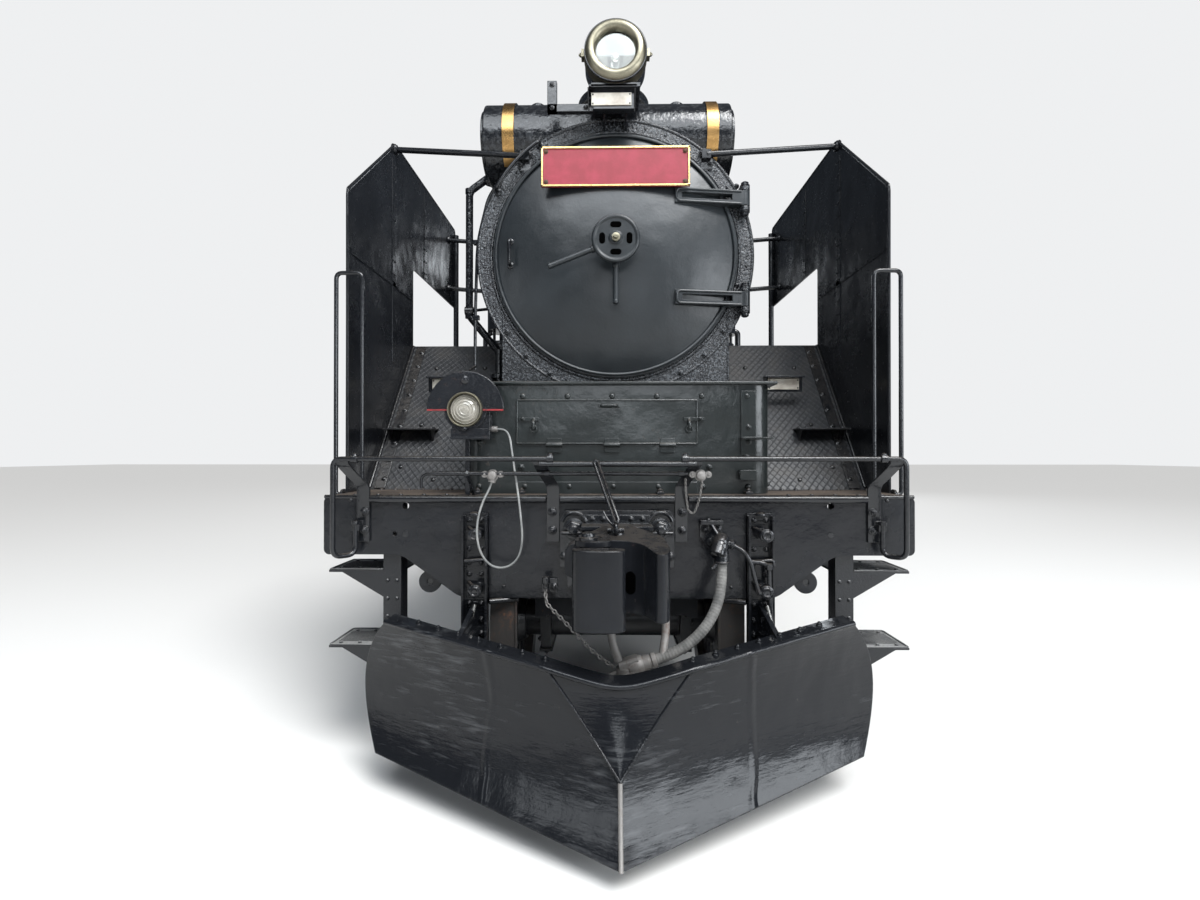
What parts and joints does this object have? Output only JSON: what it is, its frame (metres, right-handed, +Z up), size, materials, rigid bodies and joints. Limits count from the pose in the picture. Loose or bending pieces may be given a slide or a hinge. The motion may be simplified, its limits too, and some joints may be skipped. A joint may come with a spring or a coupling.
{
  "type": "steam locomotive",
  "caption": "Narrow-gauge side-rod steam locomotive with smoke deflectors, a snowplough and an enclosed cab; wheels roll, trucks swivel and doors open.",
  "frame": {"origin": "centre of the bounding box on the floor below the wheel flanges", "axes": "+Z up, +Y towards the cab, so that the engine faces -Y, and +X towards the engine's left side"},
  "size_m": [2.86, 11.295, 3.928],
  "materials": {
    "black_paint": "worn gloss black paint",
    "dark_iron": "oily blackened iron, rust in places",
    "bright_steel": "oiled machined steel",
    "red_paint": "red enamel with a brass edge",
    "brass": "dull brass",
    "green_leather": "worn dark green hide",
    "clear_glass": "clear",
    "hose_rubber": "grey ribbed rubber",
    "cable_rubber": "pale grey sheath"
  },
  "bodies": {
    "engine": {"air_reservoirs": "black_paint", "ash_pan": "dark_iron", "axleboxes": "dark_iron", "boiler_barrel": "black_paint", "boiler_fittings": "black_paint", "boiler_handrails": "bright_steel", "brake_cock": "dark_iron", "brake_gear": "dark_iron", "brake_hose": "hose_rubber", "cab_controls": "brass", "cab_ends": "black_paint", "cab_floor": "dark_iron", "cab_roof": "black_paint", "cab_seats": "green_leather", "cab_sides": "black_paint", "cable_sockets": "dark_iron", "chimney": "black_paint", "crossheads": "bright_steel", "cylinders": "black_paint", "deflectors": "black_paint", "dome_casing": "black_paint", "feedwater_heater": "black_paint", "firebox": "black_paint", "frame_plates": "dark_iron", "front_beam": "black_paint", "front_casing": "black_paint", "front_coupler": "dark_iron", "front_deck": "black_paint", "front_railing": "black_paint", "front_steps": "black_paint", "glass_panes": "clear_glass", "headlamp": "black_paint", "hose_coupling": "dark_iron", "lamp_cable": "cable_rubber", "main_rods": "bright_steel", "rail_guards": "dark_iron", "rear_beam": "dark_iron", "running_boards": "black_paint", "side_lamp": "black_paint", "slide_bars": "bright_steel", "smokebox": "black_paint", "smokebox_saddle": "black_paint", "snowplough": "black_paint", "steam_pumps": "black_paint", "valve_gear": "bright_steel"},
    "driving_wheelset_1": {"driving_wheelset_1": "dark_iron"},
    "driving_wheelset_2": {"driving_wheelset_2": "dark_iron"},
    "driving_wheelset_3": {"driving_wheelset_3": "dark_iron"},
    "leading_wheelset": {"leading_wheelset": "dark_iron"},
    "trailing_wheelset": {"trailing_wheelset": "dark_iron"},
    "front_truck": {"front_truck": "dark_iron"},
    "rear_truck": {"rear_truck": "dark_iron"},
    "coupling_rod_left": {"coupling_rod_left": "bright_steel"},
    "coupling_rod_right": {"coupling_rod_right": "bright_steel"},
    "coupler_knuckle": {"coupler_knuckle": "dark_iron"},
    "cab_door_left": {"cab_door_left": "black_paint"},
    "cab_door_right": {"cab_door_right": "black_paint"},
    "smokebox_door": {"smokebox_door": "black_paint", "door_handwheel": "bright_steel", "number_plate": "red_paint"}
  },
  "joints": [
    {"name": "driving_axle_1", "type": "hinge", "parent": "engine", "child": "driving_wheelset_1", "pos_m": [0, -1.8775, 0.788], "axis": [1, 0, 0], "continuous": true},
    {"name": "driving_axle_2", "type": "hinge", "parent": "engine", "child": "driving_wheelset_2", "pos_m": [0, -0.0475, 0.788], "axis": [1, 0, 0], "continuous": true},
    {"name": "driving_axle_3", "type": "hinge", "parent": "engine", "child": "driving_wheelset_3", "pos_m": [0, 1.7825, 0.788], "axis": [1, 0, 0], "continuous": true},
    {"name": "coupling_rod_left_pin", "type": "hinge", "parent": "driving_wheelset_2", "child": "coupling_rod_left", "pos_m": [0.706, -0.26317, 0.57233], "axis": [1, 0, 0], "continuous": true},
    {"name": "coupling_rod_right_pin", "type": "hinge", "parent": "driving_wheelset_2", "child": "coupling_rod_right", "pos_m": [-0.706, 0.16817, 0.57233], "axis": [1, 0, 0], "continuous": true},
    {"name": "front_truck_pivot", "type": "hinge", "parent": "engine", "child": "front_truck", "pos_m": [0, -2.7275, 0.613], "axis": [0, 0, 1], "range_deg": [-3, 3]},
    {"name": "rear_truck_pivot", "type": "hinge", "parent": "engine", "child": "rear_truck", "pos_m": [0, 2.9325, 0.613], "axis": [0, 0, 1], "range_deg": [-3, 3]},
    {"name": "leading_axle", "type": "hinge", "parent": "front_truck", "child": "leading_wheelset", "pos_m": [0, -4.2275, 0.458], "axis": [1, 0, 0], "continuous": true},
    {"name": "trailing_axle", "type": "hinge", "parent": "rear_truck", "child": "trailing_wheelset", "pos_m": [0, 4.3825, 0.458], "axis": [1, 0, 0], "continuous": true},
    {"name": "smokebox_door_hinge", "type": "hinge", "parent": "engine", "child": "smokebox_door", "pos_m": [0.715, -4.2795, 2.478], "axis": [0, 0, 1], "range_deg": [0, 100]},
    {"name": "coupler_knuckle_pin", "type": "hinge", "parent": "engine", "child": "coupler_knuckle", "pos_m": [-0.112, -5.3155, 0.908], "axis": [0, 0, -1], "range_deg": [0, 40]},
    {"name": "cab_door_left_hinge", "type": "hinge", "parent": "engine", "child": "cab_door_left", "pos_m": [1.36, 5.3695, 2.328], "axis": [0, 0, -1], "range_deg": [0, 90]},
    {"name": "cab_door_right_hinge", "type": "hinge", "parent": "engine", "child": "cab_door_right", "pos_m": [-1.36, 5.3695, 2.328], "axis": [0, 0, 1], "range_deg": [0, 90]}
  ],
  "couplings": [
    {"joint": "driving_axle_1", "follows": "driving_axle_2", "ratio": 1},
    {"joint": "driving_axle_3", "follows": "driving_axle_2", "ratio": 1},
    {"joint": "coupling_rod_left_pin", "follows": "driving_axle_2", "ratio": -1},
    {"joint": "coupling_rod_right_pin", "follows": "driving_axle_2", "ratio": -1}
  ]
}
